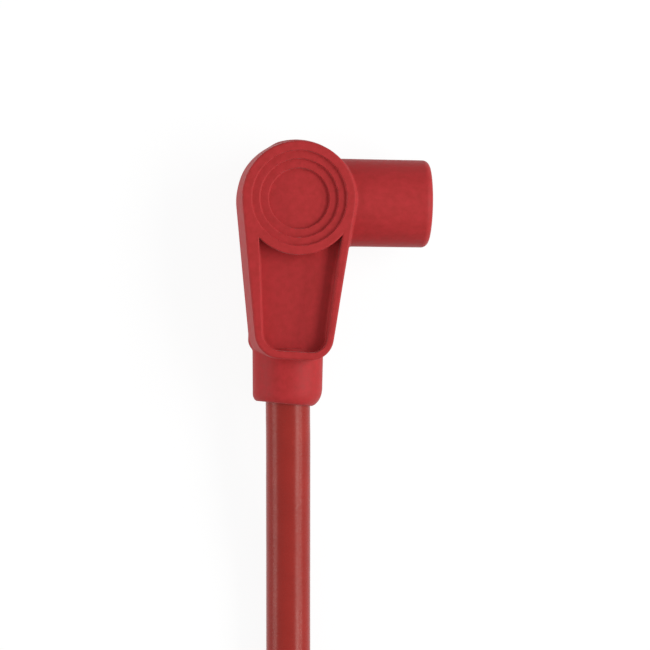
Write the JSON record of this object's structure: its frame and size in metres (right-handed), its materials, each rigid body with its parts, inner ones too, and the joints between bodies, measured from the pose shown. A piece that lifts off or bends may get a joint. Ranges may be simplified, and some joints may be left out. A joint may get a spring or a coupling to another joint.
{
  "type": "spark plug wire",
  "caption": "Right-angle moulded plug boot with a round head and a short side socket, on a round silicone lead that ends in a straight coil boot.",
  "frame": {"origin": "on the flat back of the plug boot, below the point where the lead's axis crosses the socket's axis", "axes": "+X along the side socket, out of its mouth; +Y along the lead from its collar towards the round head; +Z out of the boot's front face"},
  "size_m": [0.0986, 0.1871, 0.029],
  "materials": {
    "boot_silicone": "matte",
    "lead_jacket": "satin",
    "tinned_steel": "satin",
    "brass": "satin",
    "carbon_core": "matte",
    "nylon": "matte"
  },
  "bodies": {
    "root": {"plug_boot": "boot_silicone", "plug_terminal": "tinned_steel", "plug_terminal_spring": "tinned_steel", "plug_end_core": "carbon_core", "lead_run": "lead_jacket", "lead_coil": "lead_jacket", "lead_tail": "lead_jacket", "coil_tie_1": "nylon", "coil_tie_2": "nylon", "coil_boot": "boot_silicone", "coil_terminal": "brass", "coil_end_core": "carbon_core"}
  },
  "joints": []
}
